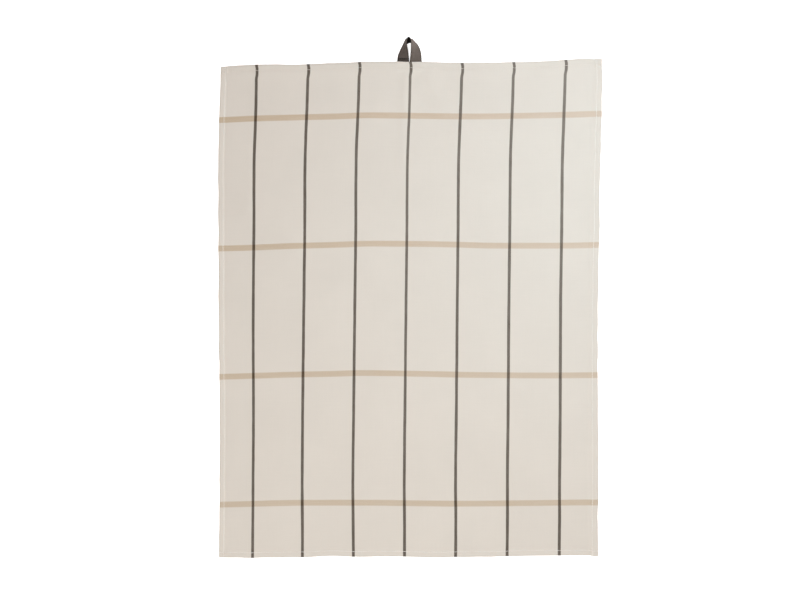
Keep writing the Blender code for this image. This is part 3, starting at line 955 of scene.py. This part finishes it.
def seam_line(side, upper):
    """The seam on one side of the towel, from corner to corner, on its face or its back."""
    inset = HEMS[side][0]
    if side in ("left", "right"):
        line_at = (-1 if side == "left" else 1) * (WIDTH / 2 - inset)
        end = LENGTH / 2 - SEAM_END
        spots = [(line_at, -end + 2 * end * k / SIDE_STEPS) for k in range(SIDE_STEPS + 1)]
    else:
        line_at = (-1 if side == "bottom" else 1) * (LENGTH / 2 - inset)
        end = WIDTH / 2 - SEAM_END
        spots = [(-end + 2 * end * k / END_STEPS, line_at) for k in range(END_STEPS + 1)]
    line = []
    for across, height in spots:
        face, back = faces_at(across, height)
        x, y = lie(across, height)
        line.append((x * MM, y * MM, (face + ON_FACE if upper else back + BEHIND_BACK) * MM))
    return line


side_stitches = sew("side_hem_stitches", [seam_line(side, True) for side in ("left", "right", "bottom")],
                    cotton_thread, 4, Thread_Width=0.00055, Arch=0.00055)
top_stitches = sew("top_hem_stitches", [seam_line("top", True)], plain_thread, 5, Thread_Width=0.00045)
back_stitches = sew("hem_stitches_back", [seam_line(side, False) for side in HEMS], cotton_thread, 9,
                    Thread_Width=0.0004, Arch=0.0001)

# %% [markdown]
# Two short rows of dark stitches hold the left foot of the loop flat, just outside the hem.

# %% Stitches across the loop's left foot
ROW_FROM, ROW_TO = 0.10, 0.90            # the part of the tape's width that a row spans


def tape_row(way):
    """A line of points across the tape, just above its upper side."""
    return [tape_place(way, ROW_FROM + (ROW_TO - ROW_FROM) * k / 12) + Vector((0, 0, TAPE * MM / 2))
            for k in range(13)]


loop_stitches = sew("loop_stitches", [tape_row(way) for way in SEAM_WAYS], dark_thread, 2,
                    Stitch_Pitch=0.0024, Stitch_Length=0.0021, Thread_Width=0.0007)

# %% [markdown]
# ## Tie every piece to the towel
# Every piece rides on the one body of the towel.  The cloth and the tape take the places of their
# plain solids, which are hidden.  Both are sheets of cloth, and their cut sizes include what is
# turned into the hems or sewn in.

# %% Pieces on the towel's body
hem_stitches = (side_stitches, top_stitches, back_stitches)
made = (cloth, loop_tape, *hem_stitches, loop_stitches)
for piece in made:
    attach(piece, "root")
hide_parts("towel_cloth")
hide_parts("hanging_loop")
print("pieces:", [piece.name for piece in made])

# %% [markdown]
# ## Table and light
# The towel lies on a plain white table.  A flat floor would end in a grey line where it meets the
# sky, as soon as the camera looks along it, so the table sweeps up into a backdrop far behind, as
# paper does in a studio.  Three soft lamps give the light: a warm window on the upper right, a
# smaller cool one nearer by, which together make the slow fall-off towards the left and pick out the
# ridges, and a wide one below the towel that fills in.  A pale sky softens the rest.

# %% Table
TABLE_TOP = -0.0002              # just below the cloth's lowest points
TABLE_REACH = 28.0               # the flat part's radius, in metres
SWEEP = ((33.0, 0.5), (37.0, 2.5), (39.0, 5.0), (40.0, 8.0))    # radius and height of each ring

bm = bmesh.new()
bmesh.ops.create_circle(bm, cap_ends=True, radius=TABLE_REACH, segments=64)
bmesh.ops.translate(bm, verts=bm.verts, vec=(0.0, 0.0, TABLE_TOP))
for radius, rise in SWEEP:
    ring = bmesh.ops.extrude_edge_only(bm, edges=[e for e in bm.edges if e.is_boundary])["geom"]
    for vert in (item for item in ring if isinstance(item, bmesh.types.BMVert)):
        vert.co = vert.co.xy.normalized().to_3d() * radius + Vector((0.0, 0.0, rise))
bmesh.ops.recalc_face_normals(bm, faces=bm.faces)
table_mesh = bpy.data.meshes.new("table_top")
bm.to_mesh(table_mesh)
bm.free()
table = bpy.data.objects.new("table_top", table_mesh)
bpy.context.scene.collection.objects.link(table)
white = Finish("white_table", roughness=0.7, Specular_IOR_Level=0.2)
white.feed(white.shader.inputs["Base Color"], (0.93, 0.93, 0.93))
white.feed(white.shader.inputs["Emission Color"], (1.0, 1.0, 1.0))
white.shader.inputs["Emission Strength"].default_value = 0.8
table_mesh.materials.append(white.material)
print("table at z = %.4f m" % TABLE_TOP)

# %% Light
def soft_lamp(name, place, size, power, colour):
    """A round lamp that shines on the middle of the towel and isn't seen itself."""
    light = bpy.data.lights.new(name, "AREA")
    light.shape, light.size, light.energy, light.color = "DISK", size, power, colour
    lamp = bpy.data.objects.new(name, light)
    bpy.context.scene.collection.objects.link(lamp)
    lamp.location = place
    lamp.rotation_euler = (-Vector(place)).to_track_quat("-Z", "Y").to_euler()
    lamp.visible_camera = False


soft_lamp("window_light", (0.60, 0.60, 1.05), 0.6, 4.84, (1.00, 0.674, 0.554))
soft_lamp("near_light", (0.42, 0.32, 0.62), 0.35, 2.04, (0.466, 0.838, 1.00))
soft_lamp("low_fill", (-0.16, -0.60, 1.43), 1.0, 12.80, (1.00, 0.995, 0.947))
sky = bpy.data.worlds.new("pale_sky")
bpy.context.scene.world = sky
sky.use_nodes = True
glow = sky.node_tree.nodes["Background"].inputs
glow["Color"].default_value = (1.0, 0.927, 0.906, 1.0)
glow["Strength"].default_value = 0.2445
bpy.context.scene.view_settings.view_transform = "Standard"
